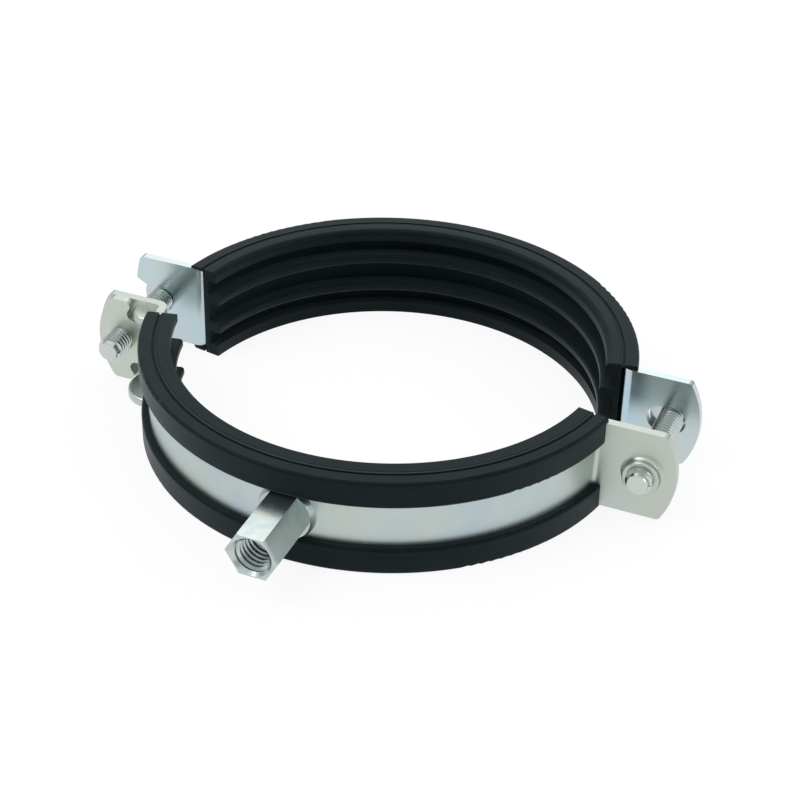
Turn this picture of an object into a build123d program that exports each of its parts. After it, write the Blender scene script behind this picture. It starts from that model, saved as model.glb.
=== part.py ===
"""Rubber lined pipe clamp: two bent steel half bands with ribbed rubber linings, joined by two screws."""

from build123d import *
import math
import os

# The pipe axis is Z, the connection boss points to -Y and the ears reach to -X and +X. All sizes are in mm.

# Pipe seat and lining
pipe_radius = 48.6
rib_height = 3.5
lining_web = 1.2
rim_step = 1.0
lip_thickness = 1.8
lip_height = 6.4
edge_cover = 0.85
lining_fit = 0.05
inner_rib_offset = 3.9
inner_rib_width = 2.4
rim_rib_width = 2.9
rib_round = 0.8
rim_round = 1.3
lip_round = 0.7
rim_groove_width = 0.6
rim_groove_depth = 0.5
rim_groove_step = 0.3
right_lining_end_angle = 11.3
front_left_lining_end_angle = 13.2
rear_left_lining_end_angle = 10.4
front_left_lip_end_angle = 14.5
front_left_lower_lip_end_angle = 20.5
front_right_lip_gap = 0.1
rear_right_lip_gap = 1.3
rear_left_lip_gap = 0.5

# Steel strip of the half bands
strip_width = 21.8
strip_thickness = 1.9
bend_radius = 1.2
front_right_ear_overhang = 7.6
front_left_ear_overhang = 6.3
rear_ear_overhang = 6.8
ear_end_radius = 21.0
rear_left_ear_end_radius = 38.0
ear_corner_round = 1.2

# Places of the ears: distance of the clamping faces from the middle plane
front_right_ear_face = 10.2
front_left_ear_face = 6.3
rear_ear_face = 10.25

# Closing screws: their axes lie outside the ring
screw_step = 9.45
screw_diameter = 6.0
screw_length = 28.6
screw_point_chamfer = 0.8
thread_clearance = 0.05
head_diameter = 10.6
head_height = 3.4
head_round = 2.4
recess_width = 1.3
recess_length = 5.6
recess_depth = 1.7

# Openings for the screws: the oblong hole lies a little towards the pipe
hole_length = 9.1
hole_shift = 1.0
swing_hole_length = 8.2
slot_width = 6.6
slot_mouth_width = 9.8
slot_mouth_depth = 2.9

# Threaded collar drawn out of the front right ear
collar_radius = 4.2
collar_height = 1.9
collar_root_round = 0.8
collar_rim_round = 0.4

# Swing nut plate on the front left ear
plate_thickness = 1.8
plate_overhang = 5.7
plate_end_radius = 18.5
plate_inner_step = 4.2
plate_corner_round = 1.4
tongue_grip = 2.3
notch_height = 5.1
notch_depth = 3.6
notch_round = 1.6
window_clearance = 0.4
window_run = 3.4

# Guide lugs of the nut plate: one above the tongue on the ear, a wide one on the lower edge of the strip
upper_lug_radius = 4.4
upper_lug_drop = 1.8
lower_lug_radius = 7.3
lower_lug_depth = 5.7
lug_edge_round = 0.6

# Threaded connection boss
boss_across_flats = 10.6
boss_bore_diameter = 8.0
boss_length = 17.0
boss_mouth_chamfer = 0.7
boss_thread_depth = 13.0
weld_width = 1.6
weld_height = 1.3
weld_slope = 20

# Derived sizes
band_inner_radius = pipe_radius + rib_height + lining_web
band_outer_radius = band_inner_radius + strip_thickness
band_middle_radius = band_inner_radius + strip_thickness / 2
valley_radius = pipe_radius + rib_height
rim_radius = pipe_radius + rim_step
rim_groove_radius = band_inner_radius + rim_groove_step
lip_outer_radius = band_outer_radius + lip_thickness
screw_distance = band_outer_radius + screw_step
lining_height = strip_width + 2 * edge_cover
half_strip = strip_width / 2
half_lining = lining_height / 2
open_strip = lining_height - 2 * lip_height
bend_middle_radius = bend_radius + strip_thickness / 2
screw_radius = screw_diameter / 2
threaded_bore_radius = screw_radius + thread_clearance
cut_margin = 5.0
same_size = 0.01


def bend_centre(ear_middle):
    """Centre of the bend that takes the strip from the ring out to an ear whose middle lies at this depth."""
    height = ear_middle + bend_middle_radius
    span = band_middle_radius + bend_middle_radius
    return math.sqrt(span**2 - height**2), height


def ring_tangent(ear_middle):
    """Point on the middle line of the ring where the bend to the ear starts."""
    across, height = bend_centre(ear_middle)
    share = band_middle_radius / (band_middle_radius + bend_middle_radius)
    return across * share, height * share


def strip_path(side, right_reach, left_reach, right_middle, left_middle):
    """Middle line of a half band from its right ear round the ring to its left ear."""
    right_bend_x, _ = bend_centre(right_middle)
    left_bend_x, _ = bend_centre(left_middle)
    right_ring = ring_tangent(right_middle)
    left_ring = ring_tangent(left_middle)
    right_ear = Line((right_reach, side * right_middle), (right_bend_x, side * right_middle))
    right_bend = TangentArc(right_ear @ 1, (right_ring[0], side * right_ring[1]), tangent=right_ear % 1)
    ring = ThreePointArc(right_bend @ 1, (0, side * band_middle_radius), (-left_ring[0], side * left_ring[1]))
    left_bend = TangentArc(ring @ 1, (-left_bend_x, side * left_middle), tangent=ring % 1)
    Line(left_bend @ 1, (-left_reach, side * left_middle))


def ear_corner(reach, end_radius):
    """How far out the corners of an ear lie whose end bulges out to the given reach."""
    return reach - end_radius + math.sqrt(end_radius**2 - half_strip**2)


def ear_outline(right_reach, left_reach, left_end_radius):
    """Flat outline of a half band seen from the front, with bulging ear ends."""
    right_corner = ear_corner(right_reach, ear_end_radius)
    left_corner = ear_corner(left_reach, left_end_radius)
    Line((-left_corner, half_strip), (right_corner, half_strip))
    ThreePointArc((right_corner, half_strip), (right_reach, 0), (right_corner, -half_strip))
    Line((right_corner, -half_strip), (-left_corner, -half_strip))
    ThreePointArc((-left_corner, -half_strip), (-left_reach, 0), (-left_corner, half_strip))


front_right_reach = screw_distance + front_right_ear_overhang
front_left_reach = screw_distance + front_left_ear_overhang
rear_reach = screw_distance + rear_ear_overhang
hole_distance = screw_distance - hole_shift
front_right_middle = front_right_ear_face + strip_thickness / 2
front_left_middle = front_left_ear_face + strip_thickness / 2
rear_middle = rear_ear_face + strip_thickness / 2
front_left_outer_face = front_left_ear_face + strip_thickness
rear_outer_face = rear_ear_face + strip_thickness
plate_front_face = front_left_outer_face + plate_thickness
plate_reach = screw_distance + plate_overhang
plate_inner_reach = screw_distance - plate_inner_step
tongue_reach = band_inner_radius - tongue_grip
tongue_width = strip_width - 2 * notch_height
window_width = tongue_width + 2 * window_clearance
window_outer_reach = bend_centre(front_left_middle)[0] + window_run
window_middle_reach = (window_outer_reach + tongue_reach) / 2
lower_lug_y = -front_left_ear_face - lower_lug_depth
lower_lug_centre = (-math.sqrt(band_outer_radius**2 - lower_lug_y**2), lower_lug_y)
upper_lug_centre = (-bend_centre(front_left_middle)[0] - bend_radius, -front_left_outer_face)

# Front half band: ring, two ears, window for the tongue of the nut plate, guide lugs and threaded collar
with BuildPart() as front_band:
    with BuildSketch() as front_strip:
        with BuildLine():
            strip_path(-1, front_right_reach, front_left_reach, front_right_middle, front_left_middle)
        trace(line_width=strip_thickness)
    extrude(amount=half_strip, both=True)
    with BuildSketch(Plane.XZ) as front_blank:
        with BuildLine():
            ear_outline(front_right_reach, front_left_reach, ear_end_radius)
        make_face()
        fillet(front_blank.vertices(), ear_corner_round)
    extrude(amount=2 * lip_outer_radius, both=True, mode=Mode.INTERSECT)
    # Threaded collar on the outer face of the right ear
    with BuildSketch(Plane.XZ.offset(front_right_ear_face)):
        with Locations((screw_distance, 0)):
            Circle(collar_radius)
    extrude(amount=strip_thickness + collar_height)
    collar_rim = front_band.edges().filter_by(GeomType.CIRCLE).filter_by(
        lambda e: abs(e.radius - collar_radius) < same_size
    ).sort_by(Axis.Y)
    fillet(collar_rim[0], collar_rim_round)
    collar_root = front_band.edges().filter_by(GeomType.CIRCLE).filter_by(
        lambda e: abs(e.radius - collar_radius) < same_size
    ).sort_by(Axis.Y)
    fillet(collar_root[-1], collar_root_round)
    with BuildSketch(Plane.XZ):
        with Locations((screw_distance, 0)):
            Circle(threaded_bore_radius)
    extrude(amount=lip_outer_radius, mode=Mode.SUBTRACT)
    # Screw hole of the left ear behind the nut plate, long enough for the plate to swing
    with BuildSketch(Plane.XZ):
        with Locations((-screw_distance, 0)):
            SlotOverall(swing_hole_length, slot_width)
    extrude(amount=lip_outer_radius, mode=Mode.SUBTRACT)
    # Window in the left bend, through which the tongue of the nut plate hooks
    with BuildSketch(Plane.XZ):
        with Locations((-window_middle_reach, 0)):
            Rectangle(window_outer_reach - tongue_reach, window_width)
    extrude(amount=plate_front_face + window_clearance, mode=Mode.SUBTRACT)
    # Guide lugs that stand out from the strip above and below the tongue
    with BuildSketch(Plane.XY.offset(half_strip - upper_lug_drop - strip_thickness)):
        with Locations(upper_lug_centre):
            Circle(upper_lug_radius)
        with Locations((0, lip_outer_radius - front_left_middle)):
            Rectangle(4 * lip_outer_radius, 2 * lip_outer_radius, mode=Mode.SUBTRACT)
        Circle(band_middle_radius, mode=Mode.SUBTRACT)
    extrude(amount=strip_thickness)
    with BuildSketch(Plane.XY.offset(-half_strip)):
        with Locations(lower_lug_centre):
            Circle(lower_lug_radius)
        with Locations((0, lip_outer_radius - front_left_ear_face)):
            Rectangle(4 * lip_outer_radius, 2 * lip_outer_radius, mode=Mode.SUBTRACT)
        Circle(band_middle_radius, mode=Mode.SUBTRACT)
    extrude(amount=strip_thickness)
    for lug_radius in (upper_lug_radius, lower_lug_radius):
        lug_rims = front_band.edges().filter_by(GeomType.CIRCLE).filter_by(
            lambda e: abs(e.radius - lug_radius) < same_size
        ).sort_by(Axis.Z)
        fillet(lug_rims[-1], lug_edge_round)

front_band.part.label = "front_band"

# Rear half band: ring, two ears, oblong hole on the right and open slot on the left
with BuildPart() as rear_band:
    with BuildSketch() as rear_strip:
        with BuildLine():
            strip_path(1, rear_reach, rear_reach, rear_middle, rear_middle)
        trace(line_width=strip_thickness)
    extrude(amount=half_strip, both=True)
    with BuildSketch(Plane.XZ) as rear_blank:
        with BuildLine():
            ear_outline(rear_reach, rear_reach, rear_left_ear_end_radius)
        make_face()
        fillet(rear_blank.vertices(), ear_corner_round)
    extrude(amount=2 * lip_outer_radius, both=True, mode=Mode.INTERSECT)
    with BuildSketch(Plane.XZ):
        with Locations((hole_distance, 0)):
            SlotOverall(hole_length, slot_width)
        # The left slot is open to the outer edge so that the screw swings in
        with Locations((-screw_distance, 0)):
            Circle(slot_width / 2)
        with Locations((-(screw_distance + rear_reach) / 2 - cut_margin / 2, 0)):
            Rectangle(rear_reach - screw_distance + cut_margin, slot_width)
        with BuildLine():
            Polyline(
                (-rear_reach - cut_margin, slot_mouth_width / 2),
                (-rear_reach, slot_mouth_width / 2),
                (-rear_reach + slot_mouth_depth, slot_width / 2),
                (-rear_reach + slot_mouth_depth, -slot_width / 2),
                (-rear_reach, -slot_mouth_width / 2),
                (-rear_reach - cut_margin, -slot_mouth_width / 2),
                close=True,
            )
        make_face()
    extrude(amount=-lip_outer_radius, mode=Mode.SUBTRACT)

rear_band.part.label = "rear_band"


def lining_section():
    """Half section of the lining: web with ribs, covered edges and lips round the strip."""
    with Locations(((valley_radius + band_outer_radius) / 2, 0)):
        Rectangle(band_outer_radius - valley_radius, lining_height)
    with Locations(((pipe_radius + band_inner_radius) / 2, 0)):
        with GridLocations(0, 2 * inner_rib_offset, 1, 2):
            Rectangle(band_inner_radius - pipe_radius, inner_rib_width)
    with Locations(((rim_radius + band_inner_radius) / 2, 0)):
        with GridLocations(0, lining_height - rim_rib_width, 1, 2):
            Rectangle(band_inner_radius - rim_radius, rim_rib_width)
    with Locations(((band_outer_radius + lip_outer_radius) / 2 - lining_fit, 0)):
        with GridLocations(0, lining_height - lip_height, 1, 2):
            Rectangle(lip_thickness + 2 * lining_fit, lip_height)


def section_rounding(section):
    """Rounds the rib tips, the rims and the outer corners of the lips."""
    tips = section.vertices().filter_by(lambda v: v.X < pipe_radius + same_size)
    fillet(tips, rib_round)
    rims = section.vertices().filter_by(lambda v: abs(v.X - rim_radius) < same_size)
    fillet(rims.sort_by(Axis.Z)[0], rim_round)
    fillet(rims.sort_by(Axis.Z)[-1], rim_round)
    outer = section.vertices().filter_by(lambda v: v.X > lip_outer_radius - same_size)
    fillet(outer, lip_round)


def radial_end(side, angle):
    """Plan point far out on a radial cut, in a list; the angle counts from the +X side."""
    reach = 2 * lip_outer_radius
    direction = math.radians(angle)
    return [(reach * math.cos(direction), side * reach * math.sin(direction))]


def ear_end(side, ear_side, ear_middle, gap):
    """Plan points of a cut that follows the bend and then the front of an ear, with a gap to it."""
    bend_x, _ = bend_centre(ear_middle)
    ring_x, ring_y = ring_tangent(ear_middle)
    scale = band_outer_radius / band_middle_radius
    wall = side * (ear_middle + strip_thickness / 2 + gap)
    return [
        (ear_side * ring_x * scale, side * ring_y * scale),
        (ear_side * bend_x, wall),
        (ear_side * 2 * lip_outer_radius, wall),
    ]


def wedge(side, right_end, left_end):
    """Sector of the plan that a half lining or its lips fill, between its two cut ends."""
    far = side * 4 * lip_outer_radius
    Polyline((0, 0), *right_end, (right_end[-1][0], far), (left_end[-1][0], far), *left_end[::-1], close=True)


def make_lining(side, right_end, left_end, right_lip_end, upper_left_lip_end, lower_left_lip_end):
    """Ribbed rubber lining of one half, turned round the pipe axis and cut at both ends."""
    seat_height = strip_width + 2 * lining_fit
    with BuildPart() as lining:
        with BuildSketch(Plane.XZ) as section:
            lining_section()
            section_rounding(section)
            with Locations((band_middle_radius, 0)):
                Rectangle(strip_thickness + 2 * lining_fit, seat_height, mode=Mode.SUBTRACT)
            with Locations((rim_groove_radius, half_lining), (rim_groove_radius, -half_lining)):
                Rectangle(rim_groove_width, 2 * rim_groove_depth, mode=Mode.SUBTRACT)
        revolve(axis=Axis.Z)
        with BuildSketch(Plane.XY.offset(-lining_height)):
            with BuildLine():
                wedge(side, right_end, left_end)
            make_face()
        extrude(amount=2 * lining_height, mode=Mode.INTERSECT)
        # The lips stop where the strip bends out to its ears, and the rims run on over its edges
        for start, left_lip_end in ((0, upper_left_lip_end), (-seat_height / 2, lower_left_lip_end)):
            with BuildSketch(Plane.XY.offset(start)):
                Circle(2 * lip_outer_radius)
                Circle(band_middle_radius, mode=Mode.SUBTRACT)
                with BuildLine():
                    wedge(side, right_lip_end, left_lip_end)
                make_face(mode=Mode.SUBTRACT)
            extrude(amount=seat_height / 2, mode=Mode.SUBTRACT)
    return lining


front_lining = make_lining(
    -1,
    radial_end(-1, right_lining_end_angle),
    radial_end(-1, 180 - front_left_lining_end_angle),
    ear_end(-1, 1, front_right_middle, front_right_lip_gap),
    radial_end(-1, 180 - front_left_lip_end_angle),
    radial_end(-1, 180 - front_left_lower_lip_end_angle),
)
front_lining.part.label = "front_lining"
rear_left_lip_end = ear_end(1, -1, rear_middle, rear_left_lip_gap)
rear_lining = make_lining(
    1,
    radial_end(1, right_lining_end_angle),
    radial_end(1, 180 - rear_left_lining_end_angle),
    ear_end(1, 1, rear_middle, rear_right_lip_gap),
    rear_left_lip_end,
    rear_left_lip_end,
)
rear_lining.part.label = "rear_lining"

mouth = band_outer_radius + boss_length

# Threaded hexagonal connection boss, welded to the middle of the front band with a round bead
with BuildPart() as connection_boss:
    with BuildSketch(Plane.XZ.offset(band_middle_radius)):
        RegularPolygon(boss_across_flats / 2, 6, major_radius=False)
    extrude(amount=mouth - band_middle_radius)
    mouth_face = connection_boss.faces().sort_by(Axis.Y)[0]
    chamfer(mouth_face.edges(), boss_mouth_chamfer / 2)
    with BuildSketch(Plane.XZ.offset(band_middle_radius)):
        Circle(boss_across_flats / 2 + weld_width)
    extrude(amount=strip_thickness / 2 + weld_height, taper=weld_slope)
    # The bead stays between the lips of the lining and meets the round outside of the band
    with BuildSketch(Plane.XY):
        with Locations((0, -(band_middle_radius + mouth) / 2)):
            Rectangle(4 * boss_across_flats, mouth - band_middle_radius)
        Circle(band_outer_radius, mode=Mode.SUBTRACT)
    extrude(amount=open_strip / 2 - lining_fit, both=True, mode=Mode.INTERSECT)
    with BuildSketch(Plane.XZ.offset(mouth - boss_thread_depth)):
        Circle(boss_bore_diameter / 2)
    extrude(amount=boss_thread_depth, mode=Mode.SUBTRACT)
    bore_rim = connection_boss.edges().filter_by(GeomType.CIRCLE).filter_by(
        lambda e: abs(e.radius - boss_bore_diameter / 2) < same_size
    ).sort_by(Axis.Y)
    chamfer(bore_rim[0], boss_mouth_chamfer)

connection_boss.part.label = "connection_boss"

# Swing nut plate: lies on the front left ear, and its tongue reaches through the window to the ring
with BuildPart() as swing_nut_plate:
    with BuildSketch(Plane.XZ.offset(front_left_outer_face)) as plate_outline:
        corner = ear_corner(plate_reach, plate_end_radius)
        with BuildLine():
            Line((-plate_inner_reach, half_strip), (-corner, half_strip))
            ThreePointArc((-corner, half_strip), (-plate_reach, 0), (-corner, -half_strip))
            Polyline(
                (-corner, -half_strip),
                (-plate_inner_reach, -half_strip),
                (-plate_inner_reach - notch_depth, -tongue_width / 2),
                (-tongue_reach, -tongue_width / 2),
                (-tongue_reach, tongue_width / 2),
                (-plate_inner_reach - notch_depth, tongue_width / 2),
                (-plate_inner_reach, half_strip),
            )
        make_face()
        outer_corners = plate_outline.vertices().filter_by(lambda v: abs(abs(v.Y) - half_strip) < same_size)
        fillet(outer_corners, plate_corner_round)
        notch_corners = plate_outline.vertices().filter_by(
            lambda v: abs(v.X + plate_inner_reach + notch_depth) < same_size
        )
        fillet(notch_corners, notch_round)
    extrude(amount=plate_thickness)
    with BuildSketch(Plane.XZ):
        with Locations((-screw_distance, 0)):
            Circle(threaded_bore_radius)
    extrude(amount=lip_outer_radius, mode=Mode.SUBTRACT)

swing_nut_plate.part.label = "swing_nut_plate"


def make_screw(centre_x, label):
    """Round head screw that bears on the back of a rear ear and points to -Y."""
    with BuildPart() as screw:
        with BuildSketch(Plane.XZ.offset(-rear_outer_face)):
            with Locations((centre_x, 0)):
                Circle(screw_radius)
        extrude(amount=screw_length)
        chamfer(screw.faces().sort_by(Axis.Y)[0].edges(), screw_point_chamfer)
        with BuildSketch(Plane.XZ.offset(-rear_outer_face)):
            with Locations((centre_x, 0)):
                Circle(head_diameter / 2)
        extrude(amount=-head_height)
        fillet(screw.faces().sort_by(Axis.Y)[-1].edges(), head_round)
        # Cross recess
        with BuildSketch(Plane.XZ.offset(-rear_outer_face - head_height)):
            with Locations((centre_x, 0)):
                Rectangle(recess_length, recess_width)
                Rectangle(recess_width, recess_length)
        extrude(amount=recess_depth, mode=Mode.SUBTRACT)
    screw.part.label = label
    return screw


right_screw = make_screw(screw_distance, "right_screw")
left_screw = make_screw(-screw_distance, "left_screw")

os.makedirs("parts", exist_ok=True)
pieces = [
    front_band,
    rear_band,
    front_lining,
    rear_lining,
    connection_boss,
    swing_nut_plate,
    right_screw,
    left_screw,
]
for piece in pieces:
    export_step(piece.part, "parts/" + piece.part.label + ".step")
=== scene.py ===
"""Looks of the rubber lined pipe clamp: zinc plated strip, rolled threads and ribbed black rubber."""

import math

import bpy
from mathutils import Matrix, Vector


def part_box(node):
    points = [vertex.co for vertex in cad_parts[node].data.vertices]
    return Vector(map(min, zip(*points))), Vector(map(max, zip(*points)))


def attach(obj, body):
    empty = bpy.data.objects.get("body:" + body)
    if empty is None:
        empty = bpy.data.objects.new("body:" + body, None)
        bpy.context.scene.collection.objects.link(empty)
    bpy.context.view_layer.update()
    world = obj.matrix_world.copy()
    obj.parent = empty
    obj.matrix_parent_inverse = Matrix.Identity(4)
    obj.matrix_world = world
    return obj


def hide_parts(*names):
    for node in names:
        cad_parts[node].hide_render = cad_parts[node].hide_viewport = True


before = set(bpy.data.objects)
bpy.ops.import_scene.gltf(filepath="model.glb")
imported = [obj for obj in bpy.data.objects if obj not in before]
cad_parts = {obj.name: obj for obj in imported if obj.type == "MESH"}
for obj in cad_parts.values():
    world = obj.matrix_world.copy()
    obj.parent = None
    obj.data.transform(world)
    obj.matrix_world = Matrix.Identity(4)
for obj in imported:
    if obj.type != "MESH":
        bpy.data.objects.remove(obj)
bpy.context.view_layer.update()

bpy.ops.object.select_all(action="DESELECT")

# Sizes of the added pieces, in metres
MM = 0.001
SAME_PLACE = 0.001 * MM
SCREW_RADIUS = 3.0 * MM
SCREW_CORE_RADIUS = 2.45 * MM
SCREW_PITCH = 1.0 * MM
POINT_BEVEL = 0.45 * MM
PLAIN_POINT = 0.4 * MM
HEAD_RADIUS = 5.3 * MM
HEAD_HEIGHT = 3.4 * MM
HEAD_ROUND = 2.4 * MM
RECESS_LENGTH = 5.6 * MM
RECESS_WIDTH = 1.3 * MM
RECESS_DEPTH = 1.7 * MM
BOSS_BORE_RADIUS = 4.0 * MM
BOSS_PITCH = 1.25 * MM
BOSS_THREAD_HEIGHT = 0.62 * MM
BOSS_THREAD_LENGTH = 11.5 * MM
MOUTH_CHAMFER = 0.7 * MM
SUNK = 0.1 * MM

# Flanks of both threads, as shares of the pitch
ROOT_HALF = 0.44
CREST_HALF = 0.1
STEPS_PER_TURN = 40

# How finely the round pieces are drawn
ROUND_SIDES = 64
POINT_SEGMENTS = 2
HEAD_SEGMENTS = 8
SMOOTH_BELOW = math.radians(30)

# Places that the frame gives
screw_low, screw_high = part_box("right_screw")
SCREW_X = (screw_low[0] + screw_high[0]) / 2
SCREW_TIP_Y = screw_low[1]
HEAD_TOP_Y = screw_high[1]
HEAD_FACE_Y = HEAD_TOP_Y - HEAD_HEIGHT
MOUTH_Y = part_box("connection_boss")[0][1]
FLOOR_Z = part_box("front_lining")[0][2]

# The fine moulded groove round each rim of the lining, bumped in and also painted dark as painted shade in
# the groove
RIM_LINE_RADIUS = 52.75 * MM
RIM_LINE_HALF_WIDTH = 0.08 * MM
RIM_LINE_FADE = 0.2 * MM
RIM_LINE_DEPTH = 0.15 * MM
RIM_LOWEST = 10.5 * MM
RUBBER_GRAIN_DEPTH = 0.015 * MM

# Distances from the middle plane over which the plating fades from the weld and yellows to the ears
WELD_NEAR = 7 * MM
WELD_FAR = 24 * MM
EARS_NEAR = 45 * MM
EARS_FAR = 63 * MM


def linear(hex_colour):
    """An sRGB hex colour as a linear colour with full alpha."""
    channels = [int(hex_colour[i:i + 2], 16) / 255 for i in (0, 2, 4)]
    values = [c / 12.92 if c <= 0.04045 else ((c + 0.055) / 1.055) ** 2.4 for c in channels]
    return (*values, 1.0)


def node(tree, kind, inputs, stops=(), **settings):
    """Adds a node with its settings, its colour stops in rising order, and its values or links."""
    added = tree.nodes.new(kind)
    for key, value in settings.items():
        setattr(added, key, value)
    for key, value in inputs.items():
        if isinstance(value, bpy.types.NodeSocket):
            tree.links.new(value, added.inputs[key])
        else:
            added.inputs[key].default_value = value
    for number, (position, colour) in enumerate(stops):
        elements = added.color_ramp.elements
        element = elements[number] if number < 2 else elements.new(position)
        element.position = position
        element.color = linear(colour)
    return added.outputs


def new_material(name, owner=bpy.data.materials):
    """A material or world with an empty node tree, and that tree."""
    material = owner.new(name)
    material.use_nodes = True
    material.node_tree.nodes.clear()
    return material, material.node_tree


# Materials


def plated_share(tree, place):
    """How yellow the plating is: a little round the weld, more on the ears and least in between."""
    across = node(tree, "ShaderNodeSeparateXYZ", {"Vector": place})["X"]
    side = node(tree, "ShaderNodeMath", {0: across}, operation="ABSOLUTE")["Value"]
    at_ears = {"Value": side, "From Min": EARS_NEAR, "From Max": EARS_FAR, "To Min": -0.06, "To Max": 0.12}
    at_weld = {"Value": side, "From Min": WELD_NEAR, "From Max": WELD_FAR, "To Min": 0.12, "To Max": 0.0}
    ears = node(tree, "ShaderNodeMapRange", at_ears)["Result"]
    weld = node(tree, "ShaderNodeMapRange", at_weld)["Result"]
    return node(tree, "ShaderNodeMath", {0: ears, 1: weld}, operation="ADD")["Value"]


def zinc_plated_steel(name, tones, smooth, rough, along):
    """Bright zinc plating on rolled steel: satin, with clouds of blue and yellow and a fine grain."""
    material, tree = new_material(name)
    place = node(tree, "ShaderNodeTexCoord", {})["Object"]
    # Tints drift over some 22 mm, with small stains of 2.6 mm on top
    clouds = node(tree, "ShaderNodeTexNoise", {"Vector": place, "Scale": 1 / (22 * MM), "Detail": 3.0})["Fac"]
    smeared = node(tree, "ShaderNodeMapping", {"Vector": place, "Scale": (1.0, 1.0, 0.4)})["Vector"]
    stains = node(
        tree,
        "ShaderNodeTexNoise",
        {"Vector": smeared, "Scale": 1 / (2.6 * MM), "Detail": 5.0, "Roughness": 0.6},
    )["Fac"]
    blotches = node(
        tree, "ShaderNodeMix", {"Factor": 0.25, "A": clouds, "B": stains}, data_type="FLOAT"
    )["Result"]
    share = plated_share(tree, place)
    level = node(tree, "ShaderNodeMath", {0: blotches, 1: share}, operation="ADD")["Value"]
    cool, middle, warm = tones
    stops = [(0.38, cool), (0.5, middle), (0.62, warm)]
    tint = node(tree, "ShaderNodeValToRGB", {"Fac": level}, stops)["Color"]
    # The real grain is some hundredths of a millimetre, drawn at 0.55 mm so that it shows
    drawn = node(tree, "ShaderNodeMapping", {"Vector": place, "Scale": along})["Vector"]
    grain = node(
        tree,
        "ShaderNodeTexNoise",
        {"Vector": drawn, "Scale": 1 / (0.55 * MM), "Detail": 3.0, "Roughness": 0.6},
    )["Fac"]
    gloss = node(tree, "ShaderNodeMapRange", {"Value": grain, "To Min": smooth, "To Max": rough})["Result"]
    spangle = node(
        tree, "ShaderNodeTexNoise", {"Vector": place, "Scale": 1 / (0.7 * MM), "Detail": 2.0}
    )["Fac"]
    height = node(tree, "ShaderNodeMath", {0: grain, 1: spangle}, operation="ADD")["Value"]
    relief = node(tree, "ShaderNodeBump", {"Height": height, "Distance": 0.0006 * MM})["Normal"]
    shader = node(
        tree,
        "ShaderNodeBsdfPrincipled",
        {"Base Color": tint, "Metallic": 1.0, "Roughness": gloss, "Normal": relief},
    )["BSDF"]
    node(tree, "ShaderNodeOutputMaterial", {"Surface": shader})
    return material


def zinc_plated_boss():
    """Machined and welded boss, zinc plated: smoother than the front strip, so it mirrors the lining."""
    material, tree = new_material("zinc_plated_boss")
    place = node(tree, "ShaderNodeTexCoord", {})["Object"]
    clouds = node(
        tree, "ShaderNodeTexNoise", {"Vector": place, "Scale": 1 / (4.5 * MM), "Detail": 4.0}
    )["Fac"]
    tones = [(0.35, "B2BDBE"), (0.55, "BFC9C7"), (0.75, "BEC4B8")]
    tint = node(tree, "ShaderNodeValToRGB", {"Fac": clouds}, tones)["Color"]
    patches = node(
        tree, "ShaderNodeTexNoise", {"Vector": place, "Scale": 1 / (1.4 * MM), "Detail": 3.0}
    )["Fac"]
    gloss = node(tree, "ShaderNodeMapRange", {"Value": patches, "To Min": 0.2, "To Max": 0.3})["Result"]
    ripples = node(
        tree, "ShaderNodeTexNoise", {"Vector": place, "Scale": 1 / (0.9 * MM), "Detail": 3.0}
    )["Fac"]
    relief = node(tree, "ShaderNodeBump", {"Height": ripples, "Distance": 0.01 * MM})["Normal"]
    shader = node(
        tree,
        "ShaderNodeBsdfPrincipled",
        {"Base Color": tint, "Metallic": 1.0, "Roughness": gloss, "Normal": relief},
    )["BSDF"]
    node(tree, "ShaderNodeOutputMaterial", {"Surface": shader})
    return material


def rim_line(tree, radius, height):
    """One on the fine moulded line that runs round each rim of the lining, and nothing elsewhere."""
    offset = node(tree, "ShaderNodeMath", {0: radius, 1: RIM_LINE_RADIUS}, operation="SUBTRACT")["Value"]
    distance = node(tree, "ShaderNodeMath", {0: offset}, operation="ABSOLUTE")["Value"]
    fade = {
        "Value": distance,
        "From Min": RIM_LINE_HALF_WIDTH,
        "From Max": RIM_LINE_FADE,
        "To Min": 1.0,
        "To Max": 0.0,
    }
    near = node(tree, "ShaderNodeMapRange", fade)["Result"]
    level = node(tree, "ShaderNodeMath", {0: height}, operation="ABSOLUTE")["Value"]
    on_rim = node(tree, "ShaderNodeMath", {0: level, 1: RIM_LOWEST}, operation="GREATER_THAN")["Value"]
    return node(tree, "ShaderNodeMath", {0: near, 1: on_rim}, operation="MULTIPLY")["Value"]


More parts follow.
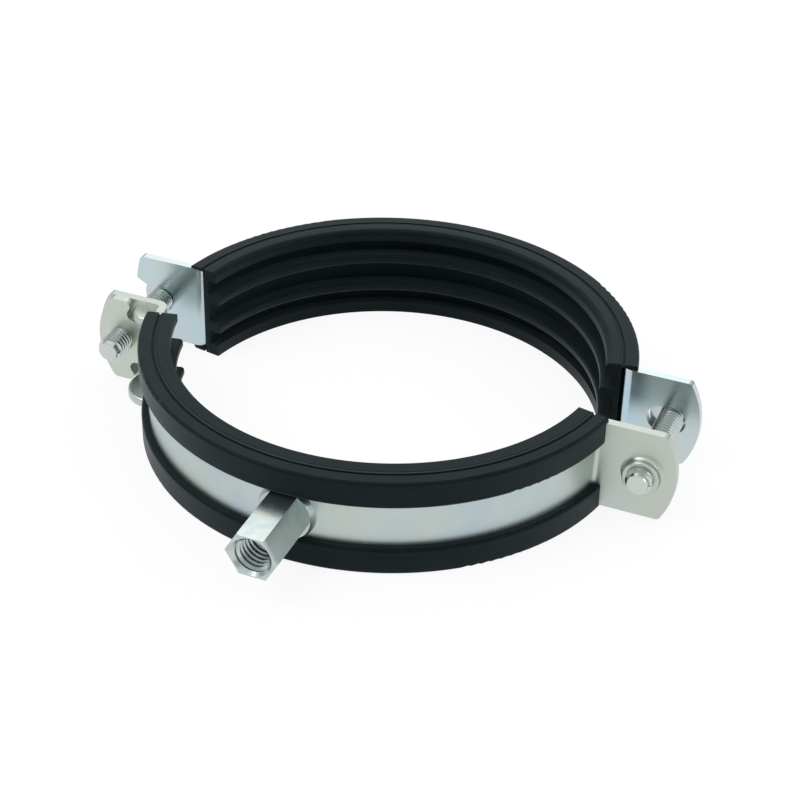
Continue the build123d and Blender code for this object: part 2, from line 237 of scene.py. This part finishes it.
def extruded_black_rubber():
    """Extruded EPDM rubber: blue-black with a soft sheen, and die lines that run round the ring."""
    material, tree = new_material("extruded_black_rubber")
    place = node(tree, "ShaderNodeTexCoord", {})["Object"]
    axes = node(tree, "ShaderNodeSeparateXYZ", {"Vector": place})
    flat = node(tree, "ShaderNodeCombineXYZ", {"X": axes["X"], "Y": axes["Y"]})["Vector"]
    radius = node(tree, "ShaderNodeVectorMath", {0: flat}, operation="LENGTH")["Value"]
    profile = node(tree, "ShaderNodeCombineXYZ", {"X": radius, "Z": axes["Z"]})["Vector"]
    line = rim_line(tree, radius, axes["Z"])
    clouds = node(
        tree,
        "ShaderNodeTexNoise",
        {"Vector": place, "Scale": 1 / (11 * MM), "Detail": 5.0, "Roughness": 0.6},
    )["Fac"]
    # Bands that vary across the profile and run round the ring: partly extrusion tone, partly painted long
    # highlights of the ribs
    bands = node(
        tree, "ShaderNodeTexNoise", {"Vector": profile, "Scale": 1 / (1.4 * MM), "Detail": 2.0}
    )["Fac"]
    tone = node(tree, "ShaderNodeMath", {0: clouds, 1: bands}, operation="MULTIPLY")["Value"]
    # Subtracting the rim line paints its groove near black: painted shade in the groove, besides its real
    # bump
    level = node(tree, "ShaderNodeMath", {0: tone, 1: line}, operation="SUBTRACT")["Value"]
    blacks = [(0.0, "020506"), (0.12, "070E10"), (0.42, "0E191C")]
    tint = node(tree, "ShaderNodeValToRGB", {"Fac": level}, blacks)["Color"]
    gloss = node(tree, "ShaderNodeMapRange", {"Value": bands, "To Min": 0.36, "To Max": 0.56})["Result"]
    # Die lines and pores are finer in the real rubber, drawn at 0.3 to 0.4 mm so that they show
    lines = node(
        tree, "ShaderNodeTexNoise", {"Vector": profile, "Scale": 1 / (0.38 * MM), "Detail": 3.0}
    )["Fac"]
    pores = node(
        tree, "ShaderNodeTexNoise", {"Vector": place, "Scale": 1 / (0.31 * MM), "Detail": 2.0}
    )["Fac"]
    grain = node(tree, "ShaderNodeMath", {0: lines, 1: pores}, operation="ADD")["Value"]
    groove_share = -RIM_LINE_DEPTH / RUBBER_GRAIN_DEPTH
    groove = node(tree, "ShaderNodeMath", {0: line, 1: groove_share}, operation="MULTIPLY")["Value"]
    height = node(tree, "ShaderNodeMath", {0: grain, 1: groove}, operation="ADD")["Value"]
    relief = node(tree, "ShaderNodeBump", {"Height": height, "Distance": RUBBER_GRAIN_DEPTH})["Normal"]
    rubber = {
        "Base Color": tint,
        "Roughness": gloss,
        "Normal": relief,
        "Specular IOR Level": 0.08,
        "Specular Tint": linear("BCDCE4"),
        "Sheen Weight": 0.16,
        "Sheen Roughness": 0.5,
        "Sheen Tint": linear("D2E2E6"),
    }
    shader = node(tree, "ShaderNodeBsdfPrincipled", rubber)["BSDF"]
    node(tree, "ShaderNodeOutputMaterial", {"Surface": shader})
    return material


# The grain is drawn out where these are small: in the plane of the ring, and along the screws
ALONG_STRIP = (0.08, 0.08, 1.0)
ALONG_SCREW = (1.0, 0.2, 1.0)
front_zinc = zinc_plated_steel(
    "zinc_plated_front_strip", ("B6C4C9", "BEC8C5", "BEC5BD"), 0.34, 0.42, ALONG_STRIP
)
plate_zinc = zinc_plated_steel(
    "zinc_plated_nut_plate", ("C2CED2", "C7CFCC", "C4CBC0"), 0.34, 0.42, ALONG_STRIP
)
# The rear strip is plated like the front one; its bluer, paler tones are painted reflection of a blue-grey
# surround
rear_zinc_painted_reflection = zinc_plated_steel(
    "zinc_plated_rear_strip_painted_reflection", ("A8C8DA", "BACFD9", "C2CECF"), 0.18, 0.26, ALONG_STRIP
)
screw_zinc = zinc_plated_steel(
    "zinc_plated_screw", ("B2C4CD", "C1CCCF", "C6CCC9"), 0.14, 0.26, ALONG_SCREW
)
boss_zinc = zinc_plated_boss()
black_rubber = extruded_black_rubber()

finishes = {
    "front_band": front_zinc,
    "rear_band": rear_zinc_painted_reflection,
    "swing_nut_plate": plate_zinc,
    "connection_boss": boss_zinc,
    "front_lining": black_rubber,
    "rear_lining": black_rubber,
}
for name, finish in finishes.items():
    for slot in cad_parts[name].material_slots:
        slot.material = finish


# Added pieces


def settle(piece):
    """Selects one piece alone and moves its place, turn and size into its mesh."""
    bpy.ops.object.select_all(action="DESELECT")
    piece.select_set(True)
    bpy.context.view_layer.objects.active = piece
    bpy.ops.object.transform_apply(location=True, rotation=True, scale=True)


def apply_modifiers(piece):
    """Applies the modifiers of a piece in order."""
    bpy.context.view_layer.objects.active = piece
    for name in [modifier.name for modifier in piece.modifiers]:
        bpy.ops.object.modifier_apply(modifier=name)


def edit_at(piece, test):
    """Opens a piece in edit mode with only the vertices selected whose place passes a test."""
    bpy.context.view_layer.objects.active = piece
    bpy.ops.object.mode_set(mode="EDIT")
    bpy.ops.mesh.select_mode(type="VERT")
    bpy.ops.mesh.select_all(action="DESELECT")
    bpy.ops.object.mode_set(mode="OBJECT")
    for vertex in piece.data.vertices:
        vertex.select = test(vertex.co)
    bpy.ops.object.mode_set(mode="EDIT")


def turned_blank(radius, low_y, high_y):
    """A round bar along Y between two depths."""
    bpy.ops.mesh.primitive_cylinder_add(
        vertices=ROUND_SIDES,
        radius=radius,
        depth=high_y - low_y,
        location=(0, (low_y + high_y) / 2, 0),
        rotation=(math.pi / 2, 0, 0),
    )
    bar = bpy.context.active_object
    settle(bar)
    return bar


def bevel_end(bar, end_y, width, segments):
    """Bevels the rim of the flat end that lies at one depth."""
    edit_at(bar, lambda place: abs(place.y - end_y) < SAME_PLACE)
    bpy.ops.mesh.select_mode(type="EDGE")
    bpy.ops.mesh.bevel(offset=width, segments=segments, affect="EDGES")
    bpy.ops.object.mode_set(mode="OBJECT")


def helical_ridge(root_radius, crest_radius, pitch, low_y, high_y):
    """A closed right-handed thread ridge along Y, with a flat crest and both ends filled."""
    bpy.ops.mesh.primitive_plane_add(
        size=1, location=((root_radius + crest_radius) / 2, 0, pitch / 2), rotation=(math.pi / 2, 0, 0)
    )
    ridge = bpy.context.active_object
    ridge.scale = (abs(crest_radius - root_radius), 2 * ROOT_HALF * pitch, 1)
    settle(ridge)
    edit_at(ridge, lambda place: abs(place.x - crest_radius) < SAME_PLACE)
    bpy.ops.transform.resize(
        value=(1, 1, CREST_HALF / ROOT_HALF), center_override=(crest_radius, 0, pitch / 2)
    )
    bpy.ops.object.mode_set(mode="OBJECT")
    winding = ridge.modifiers.new("winding", "SCREW")
    winding.steps = STEPS_PER_TURN
    winding.render_steps = STEPS_PER_TURN
    winding.iterations = math.floor((high_y - low_y) / pitch) - 1
    winding.screw_offset = pitch
    winding.use_merge_vertices = True
    apply_modifiers(ridge)
    edit_at(ridge, lambda place: True)
    bpy.ops.mesh.fill_holes(sides=4)
    bpy.ops.object.mode_set(mode="OBJECT")
    ridge.rotation_euler = (-math.pi / 2, 0, 0)
    ridge.location = (0, low_y, 0)
    settle(ridge)
    return ridge


def finish_piece(piece, name, finish, body):
    """Names a piece, turns its faces outwards, dresses it and lets it ride on its body."""
    settle(piece)
    piece.name = name
    edit_at(piece, lambda place: True)
    bpy.ops.mesh.normals_make_consistent(inside=False)
    bpy.ops.object.mode_set(mode="OBJECT")
    piece.data.materials.clear()
    piece.data.materials.append(finish)
    bpy.ops.object.shade_smooth_by_angle(angle=SMOOTH_BELOW)
    piece.select_set(False)
    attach(piece, body)


def round_head():
    """The round screw head with its cross recess."""
    head = turned_blank(HEAD_RADIUS, HEAD_FACE_Y, HEAD_TOP_Y)
    bevel_end(head, HEAD_TOP_Y, HEAD_ROUND, HEAD_SEGMENTS)
    for length, height in ((RECESS_LENGTH, RECESS_WIDTH), (RECESS_WIDTH, RECESS_LENGTH)):
        bpy.ops.mesh.primitive_cube_add(size=1, location=(0, HEAD_TOP_Y, 0))
        wing = bpy.context.active_object
        wing.scale = (length, 2 * RECESS_DEPTH, height)
        settle(wing)
        cut = head.modifiers.new("recess", "BOOLEAN")
        cut.operation = "DIFFERENCE"
        cut.solver = "EXACT"
        cut.object = wing
        apply_modifiers(head)
        bpy.data.objects.remove(wing)
    return head


def closing_screws():
    """Models one screw on the middle plane and copies it to both sides."""
    core = turned_blank(SCREW_CORE_RADIUS, SCREW_TIP_Y, HEAD_FACE_Y + SUNK)
    bevel_end(core, SCREW_TIP_Y, POINT_BEVEL, POINT_SEGMENTS)
    thread = helical_ridge(
        SCREW_CORE_RADIUS - SUNK, SCREW_RADIUS, SCREW_PITCH, SCREW_TIP_Y + PLAIN_POINT, HEAD_FACE_Y
    )
    masters = {"core": core, "thread": thread, "head": round_head()}
    for side, centre_x in (("right", SCREW_X), ("left", -SCREW_X)):
        node_name = side + "_screw"
        for part, master in masters.items():
            piece = master.copy()
            piece.data = master.data.copy()
            bpy.context.collection.objects.link(piece)
            piece.location = (centre_x, 0, 0)
            finish_piece(piece, node_name + "_" + part, screw_zinc, node_name + "_body")
        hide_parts(node_name)
    for master in masters.values():
        bpy.data.objects.remove(master)


def boss_thread():
    """The thread inside the connection boss, which starts behind its chamfered mouth."""
    start_y = MOUTH_Y + MOUTH_CHAMFER
    ridge = helical_ridge(
        BOSS_BORE_RADIUS + SUNK / 2,
        BOSS_BORE_RADIUS - BOSS_THREAD_HEIGHT,
        BOSS_PITCH,
        start_y,
        start_y + BOSS_THREAD_LENGTH,
    )
    finish_piece(ridge, "boss_inner_thread", boss_zinc, "front_half")


closing_screws()
boss_thread()


# Camera at the photograph's viewing angle

CAMERA_AZIMUTH = 21.56
CAMERA_ELEVATION = 33.90
CAMERA_ROLL = 1.47
CAMERA_DISTANCE = 447.65 * MM
CAMERA_TARGET = Vector((3.12, -0.04, -4.91)) * MM
FOCAL_PIXELS = 1926.05
FRAME_PIXELS = 800
SENSOR = 36.0


def add_camera():
    """A camera on the sphere about its target, rolled about its own axis."""
    azimuth, elevation, roll = (math.radians(a) for a in (CAMERA_AZIMUTH, CAMERA_ELEVATION, CAMERA_ROLL))
    back = Vector((
        math.sin(azimuth) * math.cos(elevation),
        -math.cos(azimuth) * math.cos(elevation),
        math.sin(elevation),
    ))
    level_right = Vector((math.cos(azimuth), math.sin(azimuth), 0))
    level_up = back.cross(level_right)
    right = level_right * math.cos(roll) + level_up * math.sin(roll)
    up = level_up * math.cos(roll) - level_right * math.sin(roll)
    data = bpy.data.cameras.new("camera")
    data.sensor_width = SENSOR
    data.lens = FOCAL_PIXELS / FRAME_PIXELS * SENSOR
    data.clip_start = 10 * MM
    camera = bpy.data.objects.new("camera", data)
    bpy.context.collection.objects.link(camera)
    turn = Matrix((right, up, back)).transposed().to_4x4()
    camera.matrix_world = Matrix.Translation(CAMERA_TARGET + back * CAMERA_DISTANCE) @ turn
    bpy.context.scene.camera = camera


# Floor, world and soft lights

FLOOR_SIZE = 4.0
WHITE_SHARE = 0.88


def white_floor():
    """White paper that is seen evenly white, also in the plating, and keeps a faint shadow."""
    material, tree = new_material("white_paper")
    place = node(tree, "ShaderNodeTexCoord", {})["Object"]
    fibres = node(
        tree, "ShaderNodeTexNoise", {"Vector": place, "Scale": 1 / (2.5 * MM), "Detail": 3.0}
    )["Fac"]
    whites = [(0.3, "F4F4F4"), (0.7, "F8F8F8")]
    tint = node(tree, "ShaderNodeValToRGB", {"Fac": fibres}, whites)["Color"]
    paper = node(tree, "ShaderNodeBsdfPrincipled", {"Base Color": tint, "Roughness": 0.9})["BSDF"]
    glow = node(tree, "ShaderNodeEmission", {"Color": linear("FFFFFF"), "Strength": 1.0})["Emission"]
    rays = node(tree, "ShaderNodeLightPath", {})
    mirrored = node(
        tree,
        "ShaderNodeMath",
        {0: rays["Is Glossy Ray"], 1: rays["Is Transmission Ray"]},
        operation="MAXIMUM",
    )["Value"]
    seen = node(tree, "ShaderNodeMath", {0: rays["Is Camera Ray"], 1: mirrored}, operation="MAXIMUM")["Value"]
    share = node(tree, "ShaderNodeMath", {0: seen, 1: WHITE_SHARE}, operation="MULTIPLY")["Value"]
    surface = node(tree, "ShaderNodeMixShader", {0: share, 1: paper, 2: glow})["Shader"]
    node(tree, "ShaderNodeOutputMaterial", {"Surface": surface})

    bpy.ops.mesh.primitive_plane_add(size=FLOOR_SIZE, location=(0, 0, FLOOR_Z))
    floor = bpy.context.active_object
    floor.name = "floor"
    floor.data.materials.append(material)


def pale_room():
    """A world that is white overhead, a little greyer low down, and white where the camera sees it."""
    world, tree = new_material("studio", bpy.data.worlds)
    direction = node(tree, "ShaderNodeTexCoord", {})["Generated"]
    height = node(tree, "ShaderNodeSeparateXYZ", {"Vector": direction})["Z"]
    camera_ray = node(tree, "ShaderNodeLightPath", {})["Is Camera Ray"]
    level = node(tree, "ShaderNodeMath", {0: height, 1: camera_ray}, operation="ADD")["Value"]
    tones = [(0.0, "E6E9EA"), (0.15, "BAC1C4"), (0.34, "AEB6BA"), (0.55, "F4F6F6"), (0.8, "FFFFFF")]
    tint = node(tree, "ShaderNodeValToRGB", {"Fac": level}, tones)["Color"]
    room = node(tree, "ShaderNodeBackground", {"Color": tint, "Strength": 1.0})["Background"]
    node(tree, "ShaderNodeOutputWorld", {"Surface": room})
    bpy.context.scene.world = world


def add_softbox(name, place, size, power):
    """A square soft light that looks at the clamp."""
    data = bpy.data.lights.new(name, "AREA")
    data.shape = "SQUARE"
    data.size = size
    data.energy = power
    light = bpy.data.objects.new(name, data)
    bpy.context.collection.objects.link(light)
    light.location = place
    light.rotation_euler = (-Vector(place)).to_track_quat("-Z", "Y").to_euler()


add_camera()
white_floor()
pale_room()
# Places and sizes in metres, power in watts
add_softbox("key_softbox", (-0.45, -0.35, 0.75), 0.5, 2.6)
add_softbox("right_softbox", (0.75, 0.1, 0.35), 0.45, 1.6)
add_softbox("back_softbox", (-0.28, 0.75, 0.6), 0.6, 0.85)
bpy.context.scene.view_settings.view_transform = "Standard"
